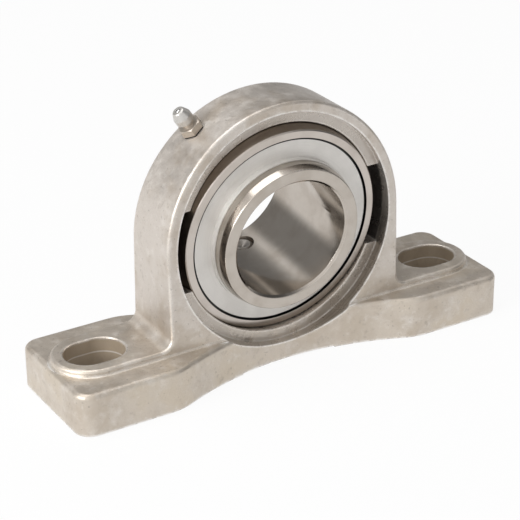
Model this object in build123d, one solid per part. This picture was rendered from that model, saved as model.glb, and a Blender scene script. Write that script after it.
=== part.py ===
"""Pillow block bearing: a cast two-bolt housing with a self-aligning set-screw ball bearing insert.

Millimetres. The origin is the centre of the two-slot bolt pattern on the underside of the base,
right below the shaft. X runs along the base, Y along the shaft, Z up. The front of the housing,
with the loading slots and the short side of the inner ring, faces -Y.
"""

import os
from math import radians, tan

from build123d import *

# --- Radial stack of the bearing insert, from the shaft outwards ---
BORE_D = 50.0  # shaft diameter
RACE_WALL = 3.35  # metal between a ring's raceway and its bore or outside
BALL_D = 12.7
BALL_COUNT = 10
RACE_CLEARANCE = 0.3  # between a ball and each raceway
SHOULDER_DEPTH = 3.15  # height of a raceway's shoulders above its groove

# --- Widths along the shaft ---
SHORT_SIDE = 19.0  # bearing centre to the inner ring's front face
LONG_SIDE = 32.6  # bearing centre to its rear face, on the set-screw side
RING_CHAMFER = 0.4  # outer edges of the outer ring
BORE_CHAMFER = 1.0
TAPER_LENGTH = 3.3  # slight taper at each end of the inner ring's outside
TAPER_DEPTH = 0.9
FACE_ROUND = 0.5
INSERT_TILT = 5.6  # resting lean of the self-aligning insert, its top towards the front

# --- Seals and flingers ---
SHEET = 0.6  # thickness of the pressed steel parts
RECESS_WALL = 3.4  # outer ring metal left round the seal recess at its face
SEAL_INSET = 1.8  # outer ring's face to the seal plate's outer side
RUBBER = 0.45  # rubber bonded behind the seal plate
SEAL_RIM = 1.6  # axial length of the seal plate's pressed-in rim
LIP_WIDTH = 2.3  # radial width of the seal lip's thick inner bead
FLINGER_INSET = 0.65  # outer ring's face to the flinger's outer side
FLINGER_COLLAR = 3.0  # axial length of the flinger's collar
FLINGER_GAP = 0.5  # between the flinger's rim and the outer ring
LIP_GAP = 0.3  # between the seal lip and the turning inner ring

# --- Cage ---
CAGE_SHEET = 0.9
CAGE_WIDTH = 4.4  # radial width of the ribbon
POCKET_CLEARANCE = 0.3
RIVET_D = 1.8
RIVET_HEAD_D = 3.0
RIVET_HEAD = 0.6
CAGE_TO_SEAL = 0.56  # cage to the rubber behind each seal plate

# --- Set screws ---
SCREW_D = 10.0
SCREW_LENGTH = 10.0
SCREW_SETBACK = 8.6  # inner ring's rear face to the screws' centres
SCREW_ANGLES = (-82.0, 158.0)  # round the shaft, from +X towards +Z
SCREW_TIP_GAP = 0.3  # tip of a backed-off screw to the bore's wall
SCREW_POINT = 1.5  # chamfer of the cup point
SOCKET_AF = 5.0
SOCKET_DEPTH = 5.0

# --- Housing ---
BARREL_WIDTH = 28.8  # along Y, at the shaft's height
FACE_DRAFT = 2.1  # lean of the cast front and rear faces, which come together upwards
SEAT_WIDTH = 20.8  # spherical seat, between the floors of the two counterbores
COUNTERBORE_MARGIN = 3.7  # counterbore's radius over the seat's
RIM_WALL = 4.4  # annular rim outside the counterbore
SEAT_FLOOR = 12.2  # outer ring's lowest point to the underside of the base
BARREL_ROUND = 1.2  # outer edges of the barrel and its pedestal
EDGE_BREAK = 0.3  # edges of the spherical seat
FLANK_FILLET = 4.5  # between the barrel's flanks and the pads
LOADING_SLOT_HEIGHT = 34.5
LOADING_SLOT_PAST_CENTRE = 1.0
LOADING_SLOT_ROUND = 2.5
BASE_DEPTH = 54.8
FOOT_HEIGHT = 17.6
PEDESTAL_ROOT = 3.0  # how far the pedestal reaches below the top of the feet
PAD_RISE = 2.6  # top of the bolt pads above the feet
PAD_ROUND = 1.4
PAD_FILLET = 1.0  # between a pad's side and the top of its foot
FOOT_CORNER = 7.0
FOOT_EDGE_ROUND = 2.2
PAD_END_MARGIN = 2.3  # end of a pad to the end of its foot
FOOT_SHOULDER = 44.0  # straight side of each foot, from its end to the waist
WAIST_BLEND = 24.0  # radius where the straight side runs into the waist
UNDERCUT_HEIGHT = 0.5  # relief that leaves two separate feet to stand on
UNDERCUT_LENGTH = 44.0

# --- Foot slots ---
SLOT_PITCH = 159.0
SLOT_WIDTH = 19.3
SLOT_LENGTH = 25.2
SLOT_ROUND = 0.6
SLOT_END_WALL = 7.1  # slot to the end of its foot

# --- Grease nipple and its passage ---
NIPPLE_ANGLE = 125.2  # round the shaft, from +X towards +Z
NIPPLE_OFFSET = 4.4  # behind the bearing's centre plane
NIPPLE_THREAD_D = 6.0
NIPPLE_THREAD_LENGTH = 5.5
NIPPLE_HEX_AF = 8.4
NIPPLE_HEX_HEIGHT = 3.6
NIPPLE_HEX_TURN = 9.8  # where tightening leaves the hexagon, degrees
NIPPLE_SPOT_FACE_D = 10.4
NIPPLE_SPOT_FACE_DEPTH = 0.3
NIPPLE_NECK_D = 5.0
NIPPLE_NECK_LENGTH = 1.6  # hexagon to the start of the head's flare
NIPPLE_HEAD_FLARE = 0.7
NIPPLE_HEAD_LAND = 2.4  # cylindrical length of the head at its widest
NIPPLE_HEAD_D = 7.4
NIPPLE_TIP_D = 4.6
NIPPLE_TIP_ROUND = 1.0
NIPPLE_HEIGHT = 11.4  # above its seat on the barrel
NIPPLE_CHAMBER_D = 2.9
NIPPLE_MOUTH_D = 1.9
NIPPLE_DUCT_D = 1.6
CHECK_BALL_D = 2.4
CHECK_BALL_PROUD = 0.2
SPRING_WIRE_D = 0.36
SPRING_D = 2.1
SPRING_TURNS = 4
GREASE_PASSAGE_D = 3.0
GREASE_GROOVE_WIDTH = 5.0
GREASE_GROOVE_DEPTH = 1.0
GREASE_GROOVE_OFFSET = 4.3  # behind the centre plane, clear of the raceway
RING_PORT_D = 1.6
RING_PORT_OFFSET = 6.5
RING_PORT_ANGLES = (126.0, 246.0, 6.0)

# --- Clearances ---
SEAT_CLEARANCE = 0.3  # between the housing's seat and the outer ring
THREAD_CLEARANCE = 0.08
PRESS_GAP = 0.04  # between pressed-together pieces

# --- Overall sizes, tied to what they hold ---
SEAL_STACK = SEAL_INSET + SHEET + PRESS_GAP + RUBBER
OUTER_RING_WIDTH = BALL_D + 2 * (POCKET_CLEARANCE + CAGE_SHEET + CAGE_TO_SEAL + SEAL_STACK)
BASE_LENGTH = SLOT_PITCH + SLOT_LENGTH + 2 * SLOT_END_WALL
PAD_HEIGHT = FOOT_HEIGHT + PAD_RISE  # top of the bolt pads above the underside

# --- Sizes that follow from the ones above ---
bore_r = BORE_D / 2
ball_r = BALL_D / 2
race_r = ball_r + RACE_CLEARANCE
pitch_r = bore_r + RACE_WALL + race_r
outer_r = pitch_r + race_r + RACE_WALL
inner_shoulder_r = bore_r + RACE_WALL + SHOULDER_DEPTH
outer_shoulder_r = outer_r - RACE_WALL - SHOULDER_DEPTH
half_ring = OUTER_RING_WIDTH / 2
ring_face_r = (outer_r**2 - half_ring**2) ** 0.5
recess_r = ring_face_r - RECESS_WALL
seal_y = half_ring - SEAL_INSET
flinger_y = half_ring - FLINGER_INSET
recess_floor_y = seal_y - max(SEAL_RIM, SHEET + RUBBER)

seat_r = outer_r + SEAT_CLEARANCE
half_barrel = BARREL_WIDTH / 2
half_seat = SEAT_WIDTH / 2
counterbore_r = seat_r + COUNTERBORE_MARGIN
barrel_r = counterbore_r + RIM_WALL
shaft_height = outer_r + SEAT_FLOOR
pedestal_z = FOOT_HEIGHT - PEDESTAL_ROOT
half_base = BASE_LENGTH / 2
waist_x = half_base - FOOT_SHOULDER

CENTRE = Pos(0, 0, shaft_height)
INSERT = CENTRE * Rot(INSERT_TILT, 0, 0)


def turned(section):
    """Turn a section, drawn with X as radius and Y along the shaft, round the shaft axis."""
    return revolve(section, Axis.Y, 360)


def outline(*points):
    """A flat face from its corner points."""
    return make_face(Polyline(*points, close=True))


def radial(angle, along):
    """A frame on the Y axis whose Z points outwards at an angle round that axis."""
    return Pos(0, along, 0) * Rot(0, 90 - angle, 0)



# ---------------------------------------------------------------- housing


def face_y(height):
    """Half width of the barrel, pedestal and pads at a height, between their leaning faces."""
    return half_barrel + (shaft_height - height) * tan(radians(FACE_DRAFT))


def base_plate():
    """The two feet and the waist between them, with rounded upper edges."""
    half_depth = BASE_DEPTH / 2
    waist = [
        ThreePointArc((-waist_x, side * half_depth), (0, side * half_barrel), (waist_x, side * half_depth))
        for side in (1, -1)
    ]
    plan = Rectangle(2 * half_base, BASE_DEPTH)
    for arc in waist:
        plan -= make_face(arc + Line(arc @ 0, arc @ 1))
    corners = [v for v in plan.vertices() if abs(v.X) > half_base - 1]
    plan = fillet(corners, FOOT_CORNER)
    shoulders = [v for v in plan.vertices() if abs(abs(v.X) - waist_x) < 0.1]
    plan = fillet(shoulders, WAIST_BLEND)
    plate = extrude(plan, FOOT_HEIGHT)
    return fillet(plate.faces().sort_by(Axis.Z)[-1].edges(), FOOT_EDGE_ROUND)


def drafted(front_view):
    """A front view given its width between the leaning faces, its upper front and rear edges rounded."""
    top = shaft_height + barrel_r + 1
    across = outline((-face_y(0), 0), (face_y(0), 0), (face_y(top), top), (-face_y(top), top))
    slab = extrude(Plane.XZ * front_view, BASE_DEPTH, both=True)
    slab &= extrude(Plane.YZ * across, BASE_LENGTH, both=True)
    faces = [face for face in slab.faces() if abs(face.center().Y) > half_seat / 2]
    rims = [e for face in faces for e in face.edges() if e.center().Z > pedestal_z + 0.01]
    return fillet(rims, BARREL_ROUND)


def barrel():
    """Barrel on its pedestal, the flanks running into the pads with a fillet."""
    face = Pos(0, shaft_height / 2) * Rectangle(2 * barrel_r, shaft_height)
    face += Pos(0, shaft_height) * Circle(barrel_r)
    face += Pos(0, PAD_HEIGHT / 2) * Rectangle(4 * barrel_r, PAD_HEIGHT)
    flanks = [v for v in face.vertices() if abs(abs(v.X) - barrel_r) < 0.01 and abs(v.Y - PAD_HEIGHT) < 0.01]
    face = fillet(flanks, FLANK_FILLET)
    face &= Pos(0, pedestal_z + 2 * barrel_r) * Rectangle(2 * (barrel_r + FLANK_FILLET), 4 * barrel_r)
    return drafted(face)


def bolt_pads():
    """Raised pads round the bolt slots, faired into the feet with a small fillet."""
    foot_y, pad_y = face_y(FOOT_HEIGHT), face_y(PAD_HEIGHT)
    skirt = foot_y + 1.2 * PAD_FILLET
    section = outline(
        (0, 0), (skirt, 0), (skirt, FOOT_HEIGHT), (foot_y, FOOT_HEIGHT), (pad_y, PAD_HEIGHT), (0, PAD_HEIGHT)
    )
    section = fillet(section.vertices().sort_by_distance((foot_y, FOOT_HEIGHT))[0], PAD_FILLET)
    section = fillet(section.vertices().sort_by_distance((pad_y, PAD_HEIGHT))[0], PAD_ROUND)
    start = max(counterbore_r**2 - (shaft_height - FOOT_HEIGHT) ** 2, 0) ** 0.5
    end = half_base - PAD_END_MARGIN - pad_y
    across = Plane.YZ * (section + mirror(section, Plane.YZ))
    pad = Pos(start, 0, 0) * extrude(across, end - start)
    pad += Pos(end, 0, 0) * revolve(Plane.XZ * section, Axis.Z, 360)
    return pad + mirror(pad, Plane.YZ)


def bearing_bore():
    """Everything that is turned out of the barrel: counterbores, spherical seat and grease groove."""
    seat_end = half_seat - EDGE_BREAK
    seat_edge_r = (seat_r**2 - seat_end**2) ** 0.5
    half = [
        (0, BASE_DEPTH), (counterbore_r, BASE_DEPTH), (counterbore_r, half_seat),
        (seat_edge_r + EDGE_BREAK, half_seat), (seat_edge_r, seat_end),
    ]
    section = outline(*half, *[(r, -y) for r, y in reversed(half)])
    zone = Circle(seat_r) & Pos(seat_r / 2, 0) * Rectangle(seat_r, 2 * seat_end)
    groove = Pos(seat_r / 2 + GREASE_GROOVE_DEPTH / 2, GREASE_GROOVE_OFFSET) * Rectangle(
        seat_r + GREASE_GROOVE_DEPTH, GREASE_GROOVE_WIDTH
    )
    return CENTRE * turned(section + zone + groove)


def loading_slots():
    """Slots at both sides of the front, through which the turned insert goes into its seat."""
    depth = BASE_DEPTH / 2 + LOADING_SLOT_PAST_CENTRE
    block = Pos(0, -depth / 2 + LOADING_SLOT_PAST_CENTRE, 0) * Box(
        2 * counterbore_r, depth, LOADING_SLOT_HEIGHT
    )
    block &= Pos(0, -depth / 2 + LOADING_SLOT_PAST_CENTRE, 0) * Rot(90, 0, 0) * Cylinder(counterbore_r, depth)
    floor = block.faces().sort_by(Axis.Y)[-1]
    floor_edges = [e for e in floor.edges() if abs(e.center().Z) > LOADING_SLOT_HEIGHT / 2 - 0.01]
    return CENTRE * fillet(floor_edges, LOADING_SLOT_ROUND)


def nipple_hole():
    """Spot face, threaded hole and passage from the nipple into the grease groove."""
    seat = barrel_r - NIPPLE_SPOT_FACE_DEPTH
    place = CENTRE * radial(NIPPLE_ANGLE, NIPPLE_OFFSET)
    top = barrel_r + NIPPLE_HEIGHT
    spot = Pos(0, 0, (seat + top) / 2) * Cylinder(NIPPLE_SPOT_FACE_D / 2, top - seat)
    thread = Pos(0, 0, seat - NIPPLE_THREAD_LENGTH / 2 - 0.5) * Cylinder(
        NIPPLE_THREAD_D / 2, NIPPLE_THREAD_LENGTH + 1
    )
    passage = Pos(0, 0, (outer_r + seat) / 2) * Cylinder(GREASE_PASSAGE_D / 2, seat - outer_r)
    return place * (spot + thread + passage)


def foot_slots():
    """Both bolt slots, cut from above the pads to below the base."""
    slot = extrude(SlotOverall(SLOT_LENGTH, SLOT_WIDTH), PAD_HEIGHT + 2)
    return [Pos(side * SLOT_PITCH / 2, 0, -1) * slot for side in (-1, 1)]


def housing():
    """The cast and machined housing."""
    body = base_plate() + barrel() + bolt_pads()
    body -= foot_slots()
    rims = [
        e for e in body.edges()
        if abs(e.center().Z - PAD_HEIGHT) < 0.01
        and abs(abs(e.center().X) - SLOT_PITCH / 2) < SLOT_LENGTH / 2
        and abs(e.center().Y) < SLOT_WIDTH / 2 + 0.1
    ]
    body = fillet(rims, SLOT_ROUND)
    body -= bearing_bore()
    body -= loading_slots()
    body -= nipple_hole()
    body -= Pos(0, 0, UNDERCUT_HEIGHT / 2) * Box(UNDERCUT_LENGTH, 2 * BASE_DEPTH, UNDERCUT_HEIGHT)
    return body


# ---------------------------------------------------------------- grease nipple


def on_nipple_axis(shape):
    """Stand a shape on the nipple's seat, its Z along the nipple's axis."""
    return CENTRE * radial(NIPPLE_ANGLE, NIPPLE_OFFSET) * Pos(0, 0, barrel_r - NIPPLE_SPOT_FACE_DEPTH) * shape


check_ball_z = NIPPLE_HEIGHT + CHECK_BALL_PROUD - CHECK_BALL_D / 2
spring_foot_z = NIPPLE_HEX_HEIGHT / 2


def grease_nipple():
    """Straight grease nipple: threaded shank, hexagon, waist and tapered head, hollow inside."""
    chamber_r = NIPPLE_CHAMBER_D / 2
    mouth_r = NIPPLE_MOUTH_D / 2
    head_r = NIPPLE_HEAD_D / 2
    neck_r = NIPPLE_NECK_D / 2
    tip_r = NIPPLE_TIP_D / 2
    shank_r = NIPPLE_THREAD_D / 2 - THREAD_CLEARANCE
    neck_top = NIPPLE_HEX_HEIGHT + NIPPLE_NECK_LENGTH
    head_low = neck_top + NIPPLE_HEAD_FLARE
    head_high = head_low + NIPPLE_HEAD_LAND
    section = outline(
        (0, -NIPPLE_THREAD_LENGTH), (shank_r, -NIPPLE_THREAD_LENGTH), (shank_r, 0), (neck_r, 0),
        (neck_r, neck_top), (head_r, head_low), (head_r, head_high),
        (tip_r, NIPPLE_HEIGHT), (0, NIPPLE_HEIGHT),
    )
    for corner in ((head_r, head_high), (tip_r, NIPPLE_HEIGHT)):
        section = fillet(section.vertices().sort_by_distance(corner)[0], NIPPLE_TIP_ROUND)
    body = revolve(Plane.XZ * section, Axis.Z, 360)
    flats = RegularPolygon(NIPPLE_HEX_AF / 2, 6, major_radius=False, rotation=NIPPLE_HEX_TURN)
    hexagon = extrude(flats, NIPPLE_HEX_HEIGHT)
    crown = Pos(0, 0, NIPPLE_HEX_HEIGHT / 2) * Cone(
        NIPPLE_HEX_AF / 2 + NIPPLE_HEX_HEIGHT * 1.5, NIPPLE_HEX_AF / 2, NIPPLE_HEX_HEIGHT
    )
    body += hexagon & crown
    shelf_z = check_ball_z + 0.1
    hollow = outline(
        (0, spring_foot_z), (chamber_r, spring_foot_z), (chamber_r, shelf_z),
        (mouth_r, NIPPLE_HEIGHT - 0.1), (mouth_r, NIPPLE_HEIGHT + 1), (0, NIPPLE_HEIGHT + 1),
    )
    body -= revolve(Plane.XZ * hollow, Axis.Z, 360)
    duct_length = NIPPLE_THREAD_LENGTH + spring_foot_z + 1
    body -= Pos(0, 0, spring_foot_z - duct_length / 2) * Cylinder(NIPPLE_DUCT_D / 2, duct_length)
    return on_nipple_axis(body)


def nipple_ball():
    """Check ball that closes the nipple's mouth."""
    return on_nipple_axis(Pos(0, 0, check_ball_z) * Sphere(CHECK_BALL_D / 2))


def nipple_spring():
    """Small coil spring that holds the check ball shut, wound from hexagonal wire."""
    wire_r = SPRING_WIRE_D / 2
    coil_r = (SPRING_D - SPRING_WIRE_D) / 2
    reach = CHECK_BALL_D / 2 + wire_r + PRESS_GAP
    foot = spring_foot_z + wire_r + PRESS_GAP
    head = check_ball_z - (reach**2 - coil_r**2) ** 0.5
    path = Helix(pitch=(head - foot) / SPRING_TURNS, height=head - foot, radius=coil_r)
    wire = sweep(Plane(path @ 0, z_dir=path % 0) * RegularPolygon(wire_r, 6), path)
    return on_nipple_axis(Pos(0, 0, foot) * wire)


# ---------------------------------------------------------------- bearing insert


def mirrored(solid, front):
    """A piece drawn for the rear, or its mirror image for the front."""
    return INSERT * (mirror(solid, Plane.XZ) if front else solid)


def outer_ring():
    """Outer ring: spherical outside, raceway, seal recesses and grease ports."""
    section = outline(
        (outer_shoulder_r, -recess_floor_y), (recess_r, -recess_floor_y), (recess_r, -half_ring),
        (outer_r, -half_ring), (outer_r, half_ring),
        (recess_r, half_ring), (recess_r, recess_floor_y), (outer_shoulder_r, recess_floor_y),
    )
    section &= Circle(outer_r)
    rims = [v for v in section.vertices() if v.X > ring_face_r - 0.5]
    section = chamfer(rims, RING_CHAMFER)
    section -= Pos(pitch_r, 0) * Circle(race_r)
    ring = INSERT * turned(section)
    middle = (outer_shoulder_r + outer_r) / 2
    for angle in RING_PORT_ANGLES:
        port = Cylinder(RING_PORT_D / 2, outer_r - outer_shoulder_r + 2)
        ring -= INSERT * radial(angle, RING_PORT_OFFSET) * Pos(0, 0, middle) * port
    return ring


def screw_frame(angle):
    """Frame of one set screw, Z pointing outwards."""
    return INSERT * radial(angle, LONG_SIDE - SCREW_SETBACK)


def inner_ring():
    """Wide inner ring: bore, raceway, tapered ends and two threaded screw holes."""
    taper_r = inner_shoulder_r - TAPER_DEPTH
    section = outline(
        (bore_r, BORE_CHAMFER - SHORT_SIDE), (bore_r + BORE_CHAMFER, -SHORT_SIDE), (taper_r, -SHORT_SIDE),
        (inner_shoulder_r, TAPER_LENGTH - SHORT_SIDE), (inner_shoulder_r, LONG_SIDE - TAPER_LENGTH),
        (taper_r, LONG_SIDE), (bore_r + BORE_CHAMFER, LONG_SIDE), (bore_r, LONG_SIDE - BORE_CHAMFER),
    )
    rims = [v for v in section.vertices() if abs(v.X - taper_r) < 0.01]
    section = fillet(rims, FACE_ROUND)
    section -= Pos(pitch_r, 0) * Circle(race_r)
    ring = INSERT * turned(section)
    for angle in SCREW_ANGLES:
        ring -= screw_frame(angle) * Pos(0, 0, bore_r + 4) * Cylinder(SCREW_D / 2, 10)
    return ring


def flinger(front):
    """Pressed steel flinger: a flat disc with a collar that grips the inner ring."""
    collar_r = inner_shoulder_r + PRESS_GAP
    rim_r = recess_r - FLINGER_GAP
    inner_y = flinger_y - SHEET
    section = outline(
        (collar_r, inner_y), (rim_r, inner_y), (rim_r, flinger_y),
        (collar_r + SHEET, flinger_y), (collar_r + SHEET, inner_y + FLINGER_COLLAR),
        (collar_r, inner_y + FLINGER_COLLAR),
    )
    return mirrored(turned(section), front)


def seal_plate(front):
    """Pressed steel seal plate with a rim that sits in the outer ring's recess."""
    rim_r = recess_r - PRESS_GAP
    rim_end = seal_y - SEAL_RIM + PRESS_GAP
    inside_r = inner_shoulder_r + LIP_GAP + LIP_WIDTH
    section = outline(
        (inside_r, seal_y - SHEET), (rim_r - SHEET, seal_y - SHEET), (rim_r - SHEET, rim_end),
        (rim_r, rim_end), (rim_r, seal_y), (inside_r, seal_y),
    )
    return mirrored(turned(section), front)


def seal_lip(front):
    """Rubber seal bonded behind the plate, its bead running close to the inner ring."""
    lip_tip_r = inner_shoulder_r + LIP_GAP
    bead_r = lip_tip_r + LIP_WIDTH - PRESS_GAP
    outside_r = recess_r - 2 * PRESS_GAP - SHEET
    back = seal_y - SHEET - PRESS_GAP
    section = outline(
        (lip_tip_r + 0.8, back - RUBBER), (outside_r, back - RUBBER), (outside_r, back), (bead_r, back),
        (bead_r, seal_y), (lip_tip_r + 0.8, seal_y), (lip_tip_r, seal_y - 0.5), (lip_tip_r, seal_y - 0.9),
    )
    return mirrored(turned(section), front)


def ball_places():
    """Frames of the balls, evenly spaced on the pitch circle."""
    return [
        INSERT * Rot(0, -360 / BALL_COUNT * index, 0) * Pos(pitch_r, 0, 0) for index in range(BALL_COUNT)
    ]


def rivet_places():
    """Frames half-way between neighbouring balls."""
    return [
        INSERT * Rot(0, -360 / BALL_COUNT * (index + 0.5), 0) * Pos(pitch_r, 0, 0)
        for index in range(BALL_COUNT)
    ]


def cage_half(front):
    """One pressed half of the riveted cage, a wavy ribbon that bends round each ball."""
    side = -1 if front else 1
    pocket_r = ball_r + POCKET_CLEARANCE
    shell_r = pocket_r + CAGE_SHEET
    band = Pos(0, side * (shell_r + PRESS_GAP) / 2, 0) * Rot(90, 0, 0) * (
        Cylinder(pitch_r + CAGE_WIDTH / 2, shell_r) - Cylinder(pitch_r - CAGE_WIDTH / 2, shell_r)
    )
    flat = Pos(0, side * (CAGE_SHEET + PRESS_GAP) / 2, 0) * Rot(90, 0, 0) * Cylinder(outer_r, CAGE_SHEET)
    waves = [place * Rot(0, 90, 0) * Cylinder(shell_r, 2 * CAGE_WIDTH) for place in ball_places()]
    half = INSERT * band & (INSERT * flat + waves)
    half -= [place * Rot(0, 90, 0) * Cylinder(pocket_r, 3 * CAGE_WIDTH) for place in ball_places()]
    rivet_hole = Rot(90, 0, 0) * Cylinder(RIVET_D / 2 + PRESS_GAP, 4 * CAGE_SHEET)
    return half - [place * rivet_hole for place in rivet_places()]


def cage_rivets():
    """Rivets that join the two cage halves, one between each pair of balls."""
    stack = CAGE_SHEET + PRESS_GAP
    shank = Cylinder(RIVET_D / 2, 2 * stack)
    head = Cylinder(RIVET_HEAD_D / 2, RIVET_HEAD)
    rivet = shank + [Pos(0, 0, side * (stack + RIVET_HEAD / 2)) * head for side in (-1, 1)]
    return Compound(children=[place * Rot(90, 0, 0) * rivet for place in rivet_places()])


def set_screw(angle):
    """Cup-point set screw with a hexagon socket, backed off so that its tip clears the bore."""
    radius = SCREW_D / 2 - THREAD_CLEARANCE
    screw = Cylinder(radius, SCREW_LENGTH, align=(Align.CENTER, Align.CENTER, Align.MIN))
    tip = screw.edges().sort_by(Axis.Z)[0]
    screw = chamfer(tip, SCREW_POINT)
    top = screw.edges().sort_by(Axis.Z)[-1]
    screw = chamfer(top, THREAD_CLEARANCE * 6)
    socket = extrude(RegularPolygon(SOCKET_AF / 2, 6, major_radius=False), SOCKET_DEPTH)
    screw -= Pos(0, 0, SCREW_LENGTH - SOCKET_DEPTH) * socket
    screw -= Cone(radius - SCREW_POINT - 0.5, 0, 1.6, align=(Align.CENTER, Align.CENTER, Align.MIN))
    return screw_frame(angle) * Pos(0, 0, bore_r + SCREW_TIP_GAP) * screw


# ---------------------------------------------------------------- all pieces


def all_parts():
    """Every node of the assembly by name."""
    parts = {
        "housing": housing(),
        "grease_nipple": grease_nipple(),
        "nipple_ball": nipple_ball(),
        "nipple_spring": nipple_spring(),
        "outer_ring": outer_ring(),
        "inner_ring": inner_ring(),
        "cage_front": cage_half(front=True),
        "cage_rear": cage_half(front=False),
        "cage_rivets": cage_rivets(),
    }
    for name, front in (("front", True), ("rear", False)):
        parts[f"flinger_{name}"] = flinger(front)
        parts[f"seal_plate_{name}"] = seal_plate(front)
        parts[f"seal_lip_{name}"] = seal_lip(front)
    for number, angle in enumerate(SCREW_ANGLES, start=1):
        parts[f"set_screw_{number}"] = set_screw(angle)
    for number, place in enumerate(ball_places(), start=1):
        parts[f"ball_{number:02d}"] = place * Sphere(ball_r)
    return parts


os.makedirs("parts", exist_ok=True)
for node, shape in all_parts().items():
    export_step(shape, f"parts/{node}.step")
    print(f"{node}: {shape.volume:.1f} mm3")
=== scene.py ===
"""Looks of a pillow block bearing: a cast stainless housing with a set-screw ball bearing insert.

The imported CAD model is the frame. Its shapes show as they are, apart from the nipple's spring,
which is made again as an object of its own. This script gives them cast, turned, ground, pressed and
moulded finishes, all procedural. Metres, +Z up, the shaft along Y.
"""

import logging
import math
from dataclasses import dataclass, field
from enum import Enum

import bmesh
import bpy
from mathutils import Matrix, Vector


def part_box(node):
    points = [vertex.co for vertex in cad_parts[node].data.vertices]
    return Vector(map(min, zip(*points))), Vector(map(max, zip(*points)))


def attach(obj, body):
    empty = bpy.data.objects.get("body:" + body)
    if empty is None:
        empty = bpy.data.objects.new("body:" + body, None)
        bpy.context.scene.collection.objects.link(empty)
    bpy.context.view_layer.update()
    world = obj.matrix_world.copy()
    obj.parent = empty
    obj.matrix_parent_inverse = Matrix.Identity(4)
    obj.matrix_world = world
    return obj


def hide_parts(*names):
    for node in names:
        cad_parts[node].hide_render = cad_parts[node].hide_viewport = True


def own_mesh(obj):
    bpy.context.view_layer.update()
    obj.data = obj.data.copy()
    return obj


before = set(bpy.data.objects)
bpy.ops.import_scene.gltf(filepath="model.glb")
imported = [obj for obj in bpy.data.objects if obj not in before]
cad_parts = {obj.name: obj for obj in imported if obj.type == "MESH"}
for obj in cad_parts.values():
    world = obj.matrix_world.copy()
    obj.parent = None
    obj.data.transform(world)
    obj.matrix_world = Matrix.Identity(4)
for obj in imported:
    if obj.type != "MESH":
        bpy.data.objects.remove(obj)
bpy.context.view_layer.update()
LOG = logging.getLogger("pillow_block")
MM = 0.001
SHAFT_HEIGHT = 57.2 * MM
INSERT_TILT = math.radians(5.6)
COUNTERBORE_RADIUS = 49.0 * MM
COUNTERBORE_FLOOR = -10.4 * MM

Socket = bpy.types.NodeSocket
Value = Socket | float
Colour = tuple[float, float, float]
Way = tuple[float, float, float]

WHITE: Colour = (1.0, 1.0, 1.0)
DARK: Colour = (0.02, 0.02, 0.02)


# ---------------------------------------------------------------- shader graphs


class Step(Enum):
    """Operations of the math nodes."""

    ADD = "ADD"
    SUBTRACT = "SUBTRACT"
    MULTIPLY = "MULTIPLY"
    MAXIMUM = "MAXIMUM"
    ABSOLUTE = "ABSOLUTE"
    SQRT = "SQRT"
    DOT_PRODUCT = "DOT_PRODUCT"


@dataclass(frozen=True)
class Ramp:
    """A smooth change from one result to another while a value goes from start to end."""

    start: float
    end: float
    at_start: float = 0.0
    at_end: float = 1.0


@dataclass(frozen=True)
class Band:
    """A range of a value, with a fade just outside each limit."""

    low: float
    high: float
    fade: float = 0.15 * MM


@dataclass(frozen=True)
class Cloud:
    """A cloudy noise: size of its features, octaves, and strength of the finer octaves."""

    size: float
    detail: float = 3.0
    rough: float = 0.55


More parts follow.
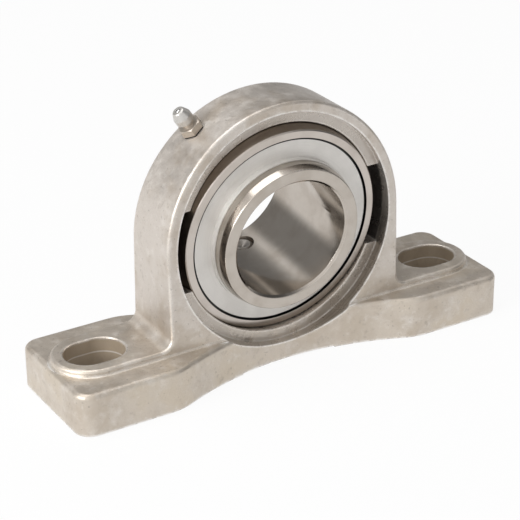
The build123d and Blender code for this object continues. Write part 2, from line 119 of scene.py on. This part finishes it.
class Graph:
    """The node graph of a material or a world, built from short calls."""

    mix_colours: tuple[int, int] = (6, 7)
    mix_result: int = 2

    def __init__(self, owner: bpy.types.Material | bpy.types.World) -> None:
        """Start with an empty node tree.

        Args:
            owner: The material or world that the tree belongs to.
        """
        owner.use_nodes = True
        self.owner = owner
        self.tree = owner.node_tree
        self.tree.nodes.clear()

    def node(self, kind: str, *values: object, **inputs: object) -> bpy.types.Node:
        """Add a node and fill its inputs.

        Args:
            kind: Blender's node type, without the ShaderNode prefix.
            *values: Values or sockets for its first inputs, in order.
            **inputs: Input name, with underscores for spaces, to a value or a socket.

        Returns:
            The new node.
        """
        made = self.tree.nodes.new("ShaderNode" + kind)
        for index, value in enumerate(values):
            self.feed(made.inputs[index], value)
        for name, value in inputs.items():
            self.feed(made.inputs[name.replace("_", " ")], value)
        return made

    def feed(self, target: Socket, value: object) -> None:
        """Link a socket to an input, or set the input's own value.

        Args:
            target: The input.
            value: A socket, a number, a vector or a colour.
        """
        if isinstance(value, Socket):
            self.tree.links.new(value, target)
        elif target.type == "RGBA":
            target.default_value = (*value, 1.0)
        else:
            target.default_value = value

    def maths(self, step: Step, first: Value, second: Value = 0.0) -> Socket:
        """One arithmetic step.

        Args:
            step: The operation.
            first: First value or socket.
            second: Second value or socket.

        Returns:
            The result.
        """
        made = self.node("Math", first, second)
        made.operation = step.value
        return made.outputs[0]

    def plus(self, first: Value, second: Value) -> Socket:
        """The sum of two values."""
        return self.maths(Step.ADD, first, second)

    def less(self, first: Value, second: Value) -> Socket:
        """The first value less the second."""
        return self.maths(Step.SUBTRACT, first, second)

    def larger(self, first: Value, second: Value) -> Socket:
        """The larger of two values."""
        return self.maths(Step.MAXIMUM, first, second)

    def unsigned(self, value: Value) -> Socket:
        """A value without its sign."""
        return self.maths(Step.ABSOLUTE, value)

    def times(self, first: Value, *others: Value) -> Value:
        """Multiply values or masks.

        Args:
            first: The first of them.
            *others: The rest.

        Returns:
            Their product.
        """
        for other in others:
            first = self.maths(Step.MULTIPLY, first, other)
        return first

    def length(self, first: Socket, second: Socket) -> Socket:
        """Length of a vector that has these two parts."""
        square = self.plus(self.times(first, first), self.times(second, second))
        return self.maths(Step.SQRT, square)

    def cosine(self, first: Socket, second: Socket | Way) -> Socket:
        """How nearly two directions agree.

        Args:
            first: A direction of length one.
            second: Another one.

        Returns:
            The cosine of the angle between them.
        """
        made = self.node("VectorMath", first, second)
        made.operation = Step.DOT_PRODUCT.value
        return made.outputs["Value"]

    def mixed(self, factor: Value, under: Socket | Colour, over: Socket | Colour) -> Socket:
        """Lay one colour over another.

        Args:
            factor: How much of the second shows.
            under: First colour.
            over: Second colour.

        Returns:
            The resulting colour.
        """
        mix = self.node("Mix", factor)
        mix.data_type = "RGBA"
        for index, colour in zip(self.mix_colours, (under, over)):
            self.feed(mix.inputs[index], colour)
        return mix.outputs[self.mix_result]

    def ranged(self, value: Socket, ramp: Ramp, offset: float = 0.0) -> Socket:
        """Put a value through a ramp.

        Args:
            value: The value.
            ramp: The ramp.
            offset: Added to the ramp's start and end.

        Returns:
            The ramp's result, which stays at its ends outside them.
        """
        step = self.node("MapRange", value, ramp.start + offset, ramp.end + offset,
                         ramp.at_start, ramp.at_end)
        step.interpolation_type = "SMOOTHSTEP"
        return step.outputs[0]

    def inside(self, value: Socket, band: Band, offset: float = 0.0) -> Socket:
        """Mark where a value is in a band.

        Args:
            value: The value.
            band: The band.
            offset: Added to the band's limits.

        Returns:
            A mask that is 1 between the limits and fades just outside them.
        """
        low, high = band.low + offset, band.high + offset
        return self.times(self.ranged(value, Ramp(low - band.fade, low)),
                          self.ranged(value, Ramp(high + band.fade, high)))

    def place(self) -> Socket:
        """Object coordinates, which are the shared frame in metres."""
        return self.node("TexCoord").outputs["Object"]

    def around_shaft(self, tilt: float = 0.0) -> tuple[Socket, Socket, Socket]:
        """Cylindrical place round the shaft axis.

        Args:
            tilt: Lean of the axis about X.

        Returns:
            Radius from the axis, distance along it, and a vector of both for turned marks.
        """
        centred = self.node("VectorMath", self.place(), (0.0, 0.0, SHAFT_HEIGHT))
        centred.operation = Step.SUBTRACT.value
        level = self.node("Mapping", Vector=centred.outputs[0], Rotation=(-tilt, 0.0, 0.0))
        parts = self.node("SeparateXYZ", level.outputs[0]).outputs
        radius = self.length(parts["X"], parts["Z"])
        return radius, parts["Y"], self.node("CombineXYZ", radius, parts["Y"]).outputs[0]

    def noise(self, vector: Socket, cloud: Cloud) -> Socket:
        """Cloudy noise.

        Args:
            vector: Where it is read.
            cloud: Its size and character.

        Returns:
            A value round 0.5.
        """
        made = self.node("TexNoise", Vector=vector, Scale=1.0 / cloud.size, Detail=cloud.detail,
                         Roughness=cloud.rough)
        return made.outputs[0]

    def rounded(self, radius: float, samples: int) -> Socket:
        """Round the edges off, for the light only.

        Args:
            radius: Radius of the rounding.
            samples: Rays that look for edges.

        Returns:
            The new normal.
        """
        bevel = self.node("Bevel", Radius=radius)
        bevel.samples = samples
        return bevel.outputs[0]

    def bumps(self, height: Socket, depth: float, under: Socket | None = None) -> Socket:
        """Surface relief.

        Args:
            height: Height from 0 to 1.
            depth: Metres between 0 and 1.
            under: Normal that the relief is added to.

        Returns:
            The new normal.
        """
        step = self.node("Bump", Height=height, Distance=depth, Strength=1.0)
        if under is not None:
            self.feed(step.inputs["Normal"], under)
        return step.outputs[0]

    def finish(self, **inputs: object) -> bpy.types.Material:
        """Close the graph with a principled surface.

        Args:
            **inputs: The surface's inputs, with underscores for spaces.

        Returns:
            The material.
        """
        surface = self.node("BsdfPrincipled", **inputs)
        self.node("OutputMaterial", Surface=surface.outputs[0])
        return self.owner


# ---------------------------------------------------------------- cast finish


class Spread(Enum):
    """Noises of the casting, from the broadest to the finest."""

    CLOUDS = Cloud(22 * MM, 5.0, 0.6)
    PATCHES = Cloud(6 * MM, 4.0)
    SMUDGES = Cloud(3.4 * MM, 4.0, 0.65)
    FLECKS = Cloud(1.3 * MM, 2.0, 0.5)
    GRAIN = Cloud(0.55 * MM, 4.0, 0.65)


@dataclass(frozen=True)
class Stain:
    """A colour laid over those before it where one of the noises, and maybe the height, allows."""

    spread: Spread
    cover: Ramp
    colour: Colour
    heights: Ramp | None = None


@dataclass(frozen=True)
class Spot:
    """Place of a point of the casting, with its distance from the shaft axis."""

    x: Socket
    y: Socket
    z: Socket
    radius: Socket


@dataclass(frozen=True)
class Counterbore:
    """Turned places round the shaft, with painted shade on the front counterbore's lower right and
    floor.

    The edge and the wall's radii are measured from the counterbore's radius, all other heights,
    depths and radii from the frame's origin or the shaft axis.
    """

    turned: Colour = (0.62, 0.57, 0.52)
    # dark: painted shade and dark reflection on the counterbore's lower right wall, and painted
    # shade on its floor.
    dark: Colour = (0.15, 0.125, 0.10)
    edge: Ramp = Ramp(0.15 * MM, -0.05 * MM)
    cover: Ramp = Ramp(0.35, 0.7, 0.25, 0.9)
    shaded_wall_radii: Band = Band(-0.05 * MM, 0.05 * MM, 0.08 * MM)
    shaded_wall_heights: Ramp = Ramp(62 * MM, 45 * MM)
    shaded_wall_across: Ramp = Ramp(0.0, 22 * MM)
    shaded_wall_depth: Ramp = Ramp(-9.8 * MM, -10.6 * MM)
    shaded_wall_cover: Ramp = Ramp(0.3, 0.7, 0.5, 1.0)
    shaded_floor_radii: Band = Band(45.0 * MM, 48.85 * MM, 0.1 * MM)
    shaded_floor_depth: Band = Band(-10.6 * MM, -10.2 * MM)
    floor_cover: float = 0.22

    def mask(self, g: Graph, spot: Spot) -> Socket:
        """The turned places."""
        return g.ranged(spot.radius, self.edge, COUNTERBORE_RADIUS)

    def laid(self, g: Graph, spot: Spot, bore: Socket, streaks: Socket, under: Socket) -> Socket:
        """Colour the turned places.

        Args:
            g: The material's graph.
            spot: The place.
            bore: Mask of the turned places.
            streaks: Noise that follows the turning.
            under: Colour so far.

        Returns:
            The new colour.
        """
        colour = g.mixed(g.times(bore, g.ranged(streaks, self.cover)), under, self.turned)
        # Painted shade and dark reflection, streaky, on the lower right of the counterbore's wall.
        wall = g.times(g.inside(spot.radius, self.shaded_wall_radii, COUNTERBORE_RADIUS),
                       g.ranged(spot.z, self.shaded_wall_heights), g.ranged(spot.x, self.shaded_wall_across),
                       g.ranged(spot.y, self.shaded_wall_depth))
        colour = g.mixed(g.times(wall, g.ranged(streaks, self.shaded_wall_cover)), colour, self.dark)
        # Painted shade on the floor band round the outer ring, where the groove lies in shadow.
        floor = g.times(g.inside(spot.radius, self.shaded_floor_radii), g.inside(spot.y, self.shaded_floor_depth))
        return g.mixed(g.times(floor, self.floor_cover), colour, self.dark)


@dataclass(frozen=True)
class FootSlots:
    """Raw walls of the foot slots, with a parting line and a darker root.

    A slot is two half circles of one radius, joined by straight walls that reach half_straight to
    each side of its centre. The edge is measured from that radius, the line from the parting.
    """

    wall: Colour = (0.41, 0.335, 0.25)
    root: Colour = (0.33, 0.265, 0.195)
    line: Colour = (0.80, 0.765, 0.725)
    centre: float = 79.5 * MM
    half_straight: float = 2.95 * MM
    radius: float = 9.65 * MM
    edge: Ramp = Ramp(0.5 * MM, 0.1 * MM)
    top: Ramp = Ramp(20.1 * MM, 19.2 * MM)
    parting: float = 13.9 * MM
    root_height: float = 9.0 * MM
    line_heights: Band = Band(-0.15 * MM, 0.3 * MM)
    line_cover: float = 0.6

    def mask(self, g: Graph, spot: Spot) -> Socket:
        """Mark the slots' walls.

        Args:
            g: The material's graph.
            spot: The place.

        Returns:
            The mask.
        """
        along = g.unsigned(g.less(g.unsigned(spot.x), self.centre))
        past = g.larger(g.less(along, self.half_straight), 0.0)
        reach = g.length(past, spot.y)
        return g.times(g.ranged(reach, self.edge, self.radius), g.ranged(spot.z, self.top))

    def laid(self, g: Graph, spot: Spot, walls: Socket, under: Socket) -> Socket:
        """Colour the slots' walls.

        Args:
            g: The material's graph.
            spot: The place.
            walls: Mask of the walls.
            under: Colour so far.

        Returns:
            The new colour.
        """
        colour = g.mixed(walls, under, self.wall)
        down = g.ranged(spot.z, Ramp(self.parting, self.root_height))
        colour = g.mixed(g.times(walls, down), colour, self.root)
        line = g.inside(spot.z, self.line_heights, self.parting)
        return g.mixed(g.times(walls, line, self.line_cover), colour, self.line)


@dataclass(frozen=True)
class LoadingSlots:
    """Shaded walls of the two loading slots beside the seat.

    The edge is measured from the slots' half height, the depth from the counterbore's floor.
    """

    shade: Colour = (0.085, 0.075, 0.07)
    half_height: float = 17.25 * MM
    edge: Ramp = Ramp(0.1 * MM, -0.5 * MM)
    radii: Band = Band(44.8 * MM, COUNTERBORE_RADIUS + 0.1 * MM)
    depth: Ramp = Ramp(-0.2 * MM, 1.5 * MM)
    cover: float = 0.9

    def laid(self, g: Graph, spot: Spot, under: Socket) -> Socket:
        """Colour the loading slots' walls.

        Args:
            g: The material's graph.
            spot: The place.
            under: Colour so far.

        Returns:
            The new colour.
        """
        rise = g.unsigned(g.less(spot.z, SHAFT_HEIGHT))
        walls = g.times(g.ranged(rise, self.edge, self.half_height),
                        g.inside(spot.radius, self.radii),
                        g.ranged(spot.y, self.depth, COUNTERBORE_FLOOR))
        return g.mixed(g.times(walls, self.cover), under, self.shade)


@dataclass(frozen=True)
class EdgeWearAndHighlight:
    """Bright worn edges that are partly painted highlight, where a widely rounded normal turns away
    from the surface's own.
    """

    colour: Colour = (0.95, 0.93, 0.90)
    reach: float = 1.6 * MM
    samples: int = 6
    turn: Ramp = Ramp(0.995, 0.94)
    radii: Ramp = Ramp(48.6 * MM, 49.4 * MM, 0.3, 1.0)
    cover: Ramp = Ramp(0.35, 0.6, 0.3, 0.9)

    def mask(self, g: Graph, spot: Spot) -> Socket:
        """Mark the edges.

        Args:
            g: The material's graph.
            spot: The place.

        Returns:
            The mask, weaker inside the housing's bore.
        """
        wide = g.rounded(self.reach, self.samples)
        turn = g.cosine(wide, g.node("NewGeometry").outputs["Normal"])
        return g.times(g.ranged(turn, self.turn), g.ranged(spot.radius, self.radii))


@dataclass(frozen=True)
class CastFinish:
    """Bead-blasted stainless casting, with turned places round the shaft and raw slot walls."""

    colour: Colour = (0.63, 0.58, 0.53)
    stain: Colour = (0.49, 0.42, 0.345)
    pale: Colour = (0.80, 0.765, 0.725)
    warm: Colour = (0.60, 0.52, 0.415)
    soot: Colour = (0.25, 0.215, 0.18)
    warm_heights: Ramp = Ramp(34 * MM, 14 * MM)
    counterbore: Counterbore = Counterbore()
    foot_slots: FootSlots = FootSlots()
    loading_slots: LoadingSlots = LoadingSlots()
    # Worn edges, which also carry painted edge highlights.
    edges: EdgeWearAndHighlight = EdgeWearAndHighlight()
    streaks: Cloud = Cloud(0.5 * MM, 3.0, 0.65)
    metal: Ramp = Ramp(0.0, 1.0, 0.7, 0.15)
    patch_roughness: Ramp = Ramp(0.3, 0.7, 0.36, 0.5)
    smudge_roughness: Ramp = Ramp(0.5, 0.7, 0.0, 0.08)
    polish: float = 0.14
    edge_round: float = 0.4 * MM
    edge_samples: int = 6
    relief: tuple[tuple[Spread, float], ...] = (
        (Spread.CLOUDS, 0.7 * MM),
        (Spread.PATCHES, 0.14 * MM),
        (Spread.SMUDGES, 0.07 * MM),
        (Spread.GRAIN, 0.04 * MM),
    )
    streak_relief: float = 0.03 * MM

    def stains(self) -> tuple[Stain, ...]:
        """Colours over the bare metal, the lowest first."""
        return (
            Stain(Spread.CLOUDS, Ramp(0.45, 0.66, 0.0, 0.8), self.stain),
            Stain(Spread.CLOUDS, Ramp(0.6, 0.35, 0.25, 0.8), self.warm, self.warm_heights),
            Stain(Spread.PATCHES, Ramp(0.5, 0.75, 0.0, 0.45), self.pale),
            Stain(Spread.SMUDGES, Ramp(0.57, 0.74, 0.0, 0.3), self.soot),
            Stain(Spread.SMUDGES, Ramp(0.43, 0.28, 0.0, 0.35), self.pale),
            Stain(Spread.GRAIN, Ramp(0.35, 0.7, 0.0, 0.22), self.stain),
            Stain(Spread.FLECKS, Ramp(0.66, 0.74, 0.0, 0.45), self.soot),
        )

    def stained(self, g: Graph, spot: Spot, noises: dict[Spread, Socket]) -> Socket | Colour:
        """Lay the stains over the bare metal.

        Args:
            g: The material's graph.
            spot: The place.
            noises: The casting's noises.

        Returns:
            The colour.
        """
        colour = self.colour
        for stain in self.stains():
            cover = g.ranged(noises[stain.spread], stain.cover)
            if stain.heights:
                cover = g.times(g.ranged(spot.z, stain.heights), cover)
            colour = g.mixed(cover, colour, stain.colour)
        return colour

    def material(self) -> bpy.types.Material:
        """Build the material.

        Returns:
            The material.
        """
        g = Graph(bpy.data.materials.new("cast_stainless"))
        place = g.place()
        parts = g.node("SeparateXYZ", place).outputs
        radius, _, turned = g.around_shaft()
        spot = Spot(parts["X"], parts["Y"], parts["Z"], radius)
        noises = {spread: g.noise(place, spread.value) for spread in Spread}
        streaks = g.noise(turned, self.streaks)
        bore = self.counterbore.mask(g, spot)
        walls = self.foot_slots.mask(g, spot)
        edges = self.edges.mask(g, spot)
        colour = self.stained(g, spot, noises)
        colour = self.counterbore.laid(g, spot, bore, streaks, colour)
        colour = self.foot_slots.laid(g, spot, walls, colour)
        colour = self.loading_slots.laid(g, spot, colour)
        # Painted highlight along the edges, partly real worn metal: a lighter colour where the edge
        # mask is high.
        wear_and_highlight = g.times(edges, g.ranged(noises[Spread.PATCHES], self.edges.cover))
        colour = g.mixed(wear_and_highlight, colour, self.edges.colour)
        rough = g.plus(g.ranged(noises[Spread.PATCHES], self.patch_roughness),
                       g.ranged(noises[Spread.SMUDGES], self.smudge_roughness))
        rough = g.less(rough, g.times(g.larger(bore, edges), self.polish))
        normal = g.rounded(self.edge_round, self.edge_samples)
        for spread, depth in self.relief:
            normal = g.bumps(noises[spread], depth, normal)
        normal = g.bumps(g.times(streaks, bore), self.streak_relief, normal)
        return g.finish(Base_Color=colour, Metallic=g.ranged(walls, self.metal), Roughness=rough,
                        Normal=normal)


# ---------------------------------------------------------------- other finishes


@dataclass(frozen=True)
class Rim:
    """Another colour inside a radius from the shaft, or outside it where the fade is negative."""

    radius: float
    fade: float
    colour: Colour
    cover: float = 1.0


@dataclass(frozen=True)
class TurnedFinish:
    """Steel turned or ground round the insert's axis, with fine marks that follow the turning."""

    name: str
    colour: Colour
    tint: Colour
    roughness: float
    metallic: float = 1.0
    anisotropic: float = 0.3
    edge_round: float = 0.25 * MM
    edge_samples: int = 4
    polished: float = 0.0
    face_at: float = 0.0
    face_edge: Ramp = Ramp(0.0, 0.4 * MM)
    rims: tuple[Rim, ...] = ()
    marks: Cloud = Cloud(0.25 * MM, 3.0, 0.6)
    mark_depth: float = 0.006 * MM
    broad_marks: Cloud = Cloud(1.5 * MM, 2.0)
    smudges: Cloud = Cloud(11 * MM)
    specks: Cloud = Cloud(0.9 * MM, 2.0)
    smudge_tint: Ramp = Ramp(0.38, 0.72, 0.0, 0.6)
    mark_tint: Ramp = Ramp(0.45, 0.7, 0.0, 0.3)
    smudge_roughness: Ramp = Ramp(0.3, 0.7, 0.0, 0.05)
    mark_roughness: Ramp = Ramp(0.3, 0.7, 0.0, 0.04)
    speck_roughness: Ramp = Ramp(0.62, 0.72, 0.0, 0.06)

    def material(self) -> bpy.types.Material:
        """Build the material.

        Returns:
            The material.
        """
        g = Graph(bpy.data.materials.new(self.name))
        place = g.place()
        radius, along, turned = g.around_shaft(INSERT_TILT)
        marks = g.noise(turned, self.marks)
        smudges = g.noise(place, self.smudges)
        colour = g.mixed(g.ranged(smudges, self.smudge_tint), self.colour, self.tint)
        colour = g.mixed(g.ranged(marks, self.mark_tint), colour, self.tint)
        for rim in self.rims:
            cover = g.ranged(radius, Ramp(rim.fade, 0.0, 0.0, rim.cover), rim.radius)
            colour = g.mixed(cover, colour, rim.colour)
        rough = g.plus(g.ranged(smudges, self.smudge_roughness),
                       g.ranged(g.noise(turned, self.broad_marks), self.mark_roughness))
        rough = g.plus(rough, g.ranged(g.noise(place, self.specks), self.speck_roughness))
        rough = g.plus(rough, self.roughness)
        if self.polished:
            behind_face = g.ranged(along, self.face_edge, self.face_at)
            rough = g.less(rough, g.times(behind_face, self.polished))
        normal = g.bumps(marks, self.mark_depth, g.rounded(self.edge_round, self.edge_samples))
        return g.finish(Base_Color=colour, Metallic=self.metallic, Roughness=rough, Normal=normal,
                        Anisotropic=self.anisotropic)


@dataclass(frozen=True)
class RubberFinish:
    """Moulded nitrile rubber."""

    name: str = "seal_rubber"
    colour: Colour = (0.035, 0.035, 0.04)
    bloom_colour: Colour = (0.08, 0.078, 0.075)
    grain: Cloud = Cloud(0.5 * MM)
    grain_depth: float = 0.02 * MM
    bloom: Cloud = Cloud(6 * MM)
    bloom_cover: Ramp = Ramp(0.4, 0.7, 0.0, 0.4)
    roughness: Ramp = Ramp(0.3, 0.7, 0.5, 0.7)

    def material(self) -> bpy.types.Material:
        """Build the material.

        Returns:
            The material.
        """
        g = Graph(bpy.data.materials.new(self.name))
        place = g.place()
        grain = g.noise(place, self.grain)
        bloom = g.ranged(g.noise(place, self.bloom), self.bloom_cover)
        return g.finish(Base_Color=g.mixed(bloom, self.colour, self.bloom_colour),
                        Roughness=g.ranged(grain, self.roughness),
                        Normal=g.bumps(grain, self.grain_depth))


# ---------------------------------------------------------------- dressing the frame


def dress(nodes: list[str], material: bpy.types.Material) -> None:
    """Give CAD nodes a material.

    Args:
        nodes: Names of the nodes.
        material: Their material.
    """
    for name in nodes:
        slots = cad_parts[name].data.materials
        if not slots:
            slots.append(material)
        for index in range(len(slots)):
            slots[index] = material


@dataclass
class Housing:
    """The cast housing."""

    finish: CastFinish = field(default_factory=CastFinish)

    def build(self) -> str:
        """Dress the casting and report it."""
        dress(["housing"], self.finish.material())
        return "housing"


@dataclass
class Nipple:
    """Grease nipple with its check ball and spring.

    Its axis lies in a plane that is offset along Y from the shaft's middle, at an angle from +X. The
    seat's height along that axis starts at the shaft, the spring's foot at the seat.
    """

    angle: float = math.radians(125.2)
    offset: float = 4.4 * MM
    seat: float = 53.1 * MM
    spring_foot: float = 1.8 * MM
    spring_length: float = 7.35 * MM
    check_travel: float = 0.8 * MM
    merge_distance: float = 0.001 * MM
    plate: TurnedFinish = TurnedFinish(
        "nipple_plate", (0.58, 0.565, 0.54), (0.50, 0.44, 0.375), 0.32,
        metallic=0.75, anisotropic=0.0, edge_round=0.3 * MM,
        # The dark rim inside 53.4 mm is painted contact shadow and grime at the hex's foot.
        rims=(Rim(57.3 * MM, 0.3 * MM, (0.50, 0.44, 0.375), 0.85), Rim(53.4 * MM, 0.12 * MM, DARK)))
    wire: TurnedFinish = TurnedFinish(
        "spring_wire", (0.42, 0.41, 0.40), (0.30, 0.29, 0.28), 0.3, anisotropic=0.0)
    ball: TurnedFinish = TurnedFinish(
        "nipple_ball_steel", (0.62, 0.61, 0.60), (0.45, 0.44, 0.43), 0.12, anisotropic=0.0)

    def spring(self, material: bpy.types.Material) -> None:
        """Make the coil spring again as an object of its own, attached to the housing.

        Args:
            material: Its material.
        """
        shape = bmesh.new()
        shape.from_mesh(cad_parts["nipple_spring"].data)
        bmesh.ops.remove_doubles(shape, verts=shape.verts, dist=self.merge_distance)
        mesh = bpy.data.meshes.new("check_spring")
        shape.to_mesh(mesh)
        shape.free()
        mesh.materials.clear()
        mesh.materials.append(material)
        spring = bpy.data.objects.new("check_spring", mesh)
        bpy.context.collection.objects.link(spring)
        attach(spring, "housing")
        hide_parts("nipple_spring")
        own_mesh(spring)

    def build(self) -> str:
        """Dress the nipple's pieces and report them.

        Returns:
            Name of the sub-assembly.
        """
        dress(["grease_nipple"], self.plate.material())
        self.spring(self.wire.material())
        dress(["nipple_ball"], self.ball.material())
        return "grease nipple"


@dataclass
class Insert:
    """The ball bearing insert."""

    ball_count: int = 10
    flinger_rim: float = 0.25 * MM
    ring: TurnedFinish = TurnedFinish(
        "ground_ring_steel", (0.52, 0.475, 0.425), (0.40, 0.35, 0.30), 0.36,
        polished=0.26, face_at=-19.0 * MM)
    outer: TurnedFinish = TurnedFinish(
        "outer_ring_steel", (0.56, 0.51, 0.465), (0.46, 0.41, 0.365), 0.26,
        # The brownish rim outside 43.8 mm is painted shade on the ring's sphere, in the gap under
        # the housing's lip.
        rims=(Rim(40.3 * MM, 0.12 * MM, DARK), Rim(43.8 * MM, -0.1 * MM, (0.35, 0.30, 0.255))))
    sheet: TurnedFinish = TurnedFinish(
        "pressed_sheet", (0.64, 0.62, 0.59), (0.56, 0.54, 0.51), 0.27)
    plate: TurnedFinish = TurnedFinish(
        "seal_plate_steel", (0.10, 0.095, 0.09), (0.06, 0.057, 0.055), 0.4)
    rubber: RubberFinish = RubberFinish()
    screw: TurnedFinish = TurnedFinish(
        "screw_steel", (0.34, 0.315, 0.29), (0.26, 0.24, 0.22), 0.42,
        metallic=0.7, anisotropic=0.0)
    ball: TurnedFinish = TurnedFinish(
        "ball_steel", (0.66, 0.65, 0.64), (0.52, 0.51, 0.50), 0.07, anisotropic=0.0)

    def flinger(self) -> TurnedFinish:
        """Pale pressed sheet with a dark rim, which lies just inside the flinger's own edge.

        Returns:
            The finish.
        """
        low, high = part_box("flinger_front")
        rim = Rim((high[0] - low[0]) / 2 - self.flinger_rim, -0.1 * MM, DARK)
        return TurnedFinish("flinger_sheet", (0.76, 0.735, 0.70), (0.66, 0.635, 0.60), 0.42,
                            metallic=0.45, rims=(rim,))

    def build(self) -> str:
        """Dress rings, flingers, cage, seals, set screws and balls.

        Returns:
            Name of the sub-assembly.
        """
        finishes = (
            (self.ring, ["inner_ring"]),
            (self.outer, ["outer_ring"]),
            (self.flinger(), ["flinger_front", "flinger_rear"]),
            (self.sheet, ["cage_front", "cage_rear", "cage_rivets"]),
            (self.plate, ["seal_plate_front", "seal_plate_rear"]),
            (self.rubber, ["seal_lip_front", "seal_lip_rear"]),
            (self.screw, ["set_screw_1", "set_screw_2"]),
            (self.ball, [f"ball_{number:02d}" for number in range(1, self.ball_count + 1)]),
        )
        for finish, nodes in finishes:
            dress(nodes, finish.material())
        return "bearing insert"


# ---------------------------------------------------------------- studio


@dataclass(frozen=True)
class Lamp:
    """A square soft lamp: its place, the length of its side and its watts."""

    name: str
    place: Way
    size: float
    power: float


@dataclass(frozen=True)
class Card:
    """A dark card in the surround: its direction, the cosines of its fade, the light it leaves."""

    way: Way
    begins: float
    full: float
    level: float


@dataclass
class Studio:
    """White floor and surround, soft lamps and the camera."""

    azimuth: float = -31.15
    elevation: float = 25.98
    roll: float = -0.52
    lens: float = 128.3
    sensor: float = 36.0
    nearest: float = 0.01
    farthest: float = 20.0
    shift_right: float = -3.18 * MM
    shift_up: float = 34.92 * MM
    distance: float = 767.3 * MM
    lamps: tuple[Lamp, ...] = (
        Lamp("key", (-1.3, -0.25, 0.65), 0.7, 13.0),
        Lamp("fill", (0.4, -1.15, 0.55), 0.8, 1.5),
        Lamp("top", (-0.2, 0.2, 1.15), 0.7, 3.5),
    )
    lamp_target: Way = (0.0, 0.0, 0.05)
    cards: tuple[Card, ...] = (
        Card((0.70, -0.66, 0.27), 0.62, 0.93, 0.2),
        Card((0.465, 0.77, 0.44), 0.80, 0.97, 0.35),
        Card((-0.42, 0.77, 0.47), 0.84, 0.95, 0.28),
    )
    bright_way: Way = (-0.78, -0.05, 0.62)
    brightness: Ramp = Ramp(-0.45, 0.85, 0.55, 1.1)
    glossy_share: Ramp = Ramp(0.0, 1.0, 0.5, 1.0)
    floor_size: float = 8.0
    floor_height: float = -0.2 * MM
    floor_colours: tuple[Colour, Colour] = ((0.93, 0.93, 0.93), (0.95, 0.95, 0.95))
    floor_speckle: Cloud = Cloud(2 * MM)
    floor_cover: Ramp = Ramp(0.3, 0.7)
    floor_glow: float = 0.93

    def build(self) -> str:
        """Make the floor, the world, the lamps and the camera.

        Returns:
            Name of the sub-assembly.
        """
        self.floor()
        self.world()
        for lamp in self.lamps:
            self.hang(lamp)
        self.camera()
        return "studio"

    def floor(self) -> None:
        """Lay a wide white floor under the feet, which glows where it is seen or mirrored."""
        place = (0.0, 0.0, self.floor_height)
        bpy.ops.mesh.primitive_grid_add(size=self.floor_size, location=place)
        sheet = bpy.context.object
        sheet.name = "floor"
        g = Graph(bpy.data.materials.new("white_floor"))
        path = g.node("LightPath").outputs
        seen = g.larger(path["Is Camera Ray"], path["Is Glossy Ray"])
        speckle = g.ranged(g.noise(g.place(), self.floor_speckle), self.floor_cover)
        matt = g.node("BsdfDiffuse", Color=g.mixed(speckle, *self.floor_colours))
        glow = g.node("Emission", Color=WHITE, Strength=1.0)
        mix = g.node("MixShader", g.times(seen, self.floor_glow), matt.outputs[0], glow.outputs[0])
        g.node("OutputMaterial", Surface=mix.outputs[0])
        sheet.data.materials.append(g.owner)

    def world(self) -> None:
        """Surround the scene with white for the camera and with a soft studio for the metal.

        The studio is brighter towards the upper left and has dark cards that the metal mirrors.
        """
        world = bpy.data.worlds.new("surround")
        bpy.context.scene.world = world
        g = Graph(world)
        toward = g.node("TexCoord").outputs["Generated"]
        studio = g.ranged(g.cosine(toward, self.bright_way), self.brightness)
        for card in self.cards:
            fade = Ramp(card.begins, card.full, 1.0, card.level)
            studio = g.times(studio, g.ranged(g.cosine(toward, card.way), fade))
        path = g.node("LightPath").outputs
        studio = g.times(studio, g.ranged(path["Is Glossy Ray"], self.glossy_share))
        seen = g.larger(path["Is Camera Ray"], path["Is Transmission Ray"])
        background = g.node("Background", Color=WHITE, Strength=g.larger(studio, seen))
        g.node("OutputWorld", Surface=background.outputs[0])

    def hang(self, lamp: Lamp) -> None:
        """Hang a lamp so that it points at the bearing.

        Args:
            lamp: The lamp.
        """
        data = bpy.data.lights.new(lamp.name, "AREA")
        data.size = lamp.size
        data.energy = lamp.power
        hung = bpy.data.objects.new(lamp.name, data)
        bpy.context.collection.objects.link(hung)
        hung.location = lamp.place
        aim = Vector(self.lamp_target) - hung.location
        hung.rotation_euler = aim.to_track_quat("-Z", "Y").to_euler()

    def camera(self) -> None:
        """Set the camera at the viewing angle."""
        turn, rise = math.radians(self.azimuth), math.radians(self.elevation)
        right = Vector((math.cos(turn), math.sin(turn), 0.0))
        back = Vector((math.sin(turn) * math.cos(rise), -math.cos(turn) * math.cos(rise),
                       math.sin(rise)))
        up = back.cross(right)
        data = bpy.data.cameras.new("camera")
        data.lens = self.lens
        data.sensor_width = self.sensor
        data.clip_start, data.clip_end = self.nearest, self.farthest
        camera = bpy.data.objects.new("camera", data)
        bpy.context.collection.objects.link(camera)
        camera.location = right * self.shift_right + up * self.shift_up + back * self.distance
        level = Matrix((right, up, back)).transposed()
        roll = Matrix.Rotation(math.radians(self.roll), 3, "Z")
        camera.rotation_euler = (level @ roll).to_euler()
        bpy.context.scene.camera = camera
        bpy.context.scene.view_settings.view_transform = "Standard"


def main() -> None:
    """Build every sub-assembly in order and log each."""
    logging.basicConfig(level=logging.INFO, format="%(name)s: %(message)s")
    for assembly in (Housing(), Nipple(), Insert(), Studio()):
        LOG.info("built %s", assembly.build())


if __name__ == "__main__":
    main()
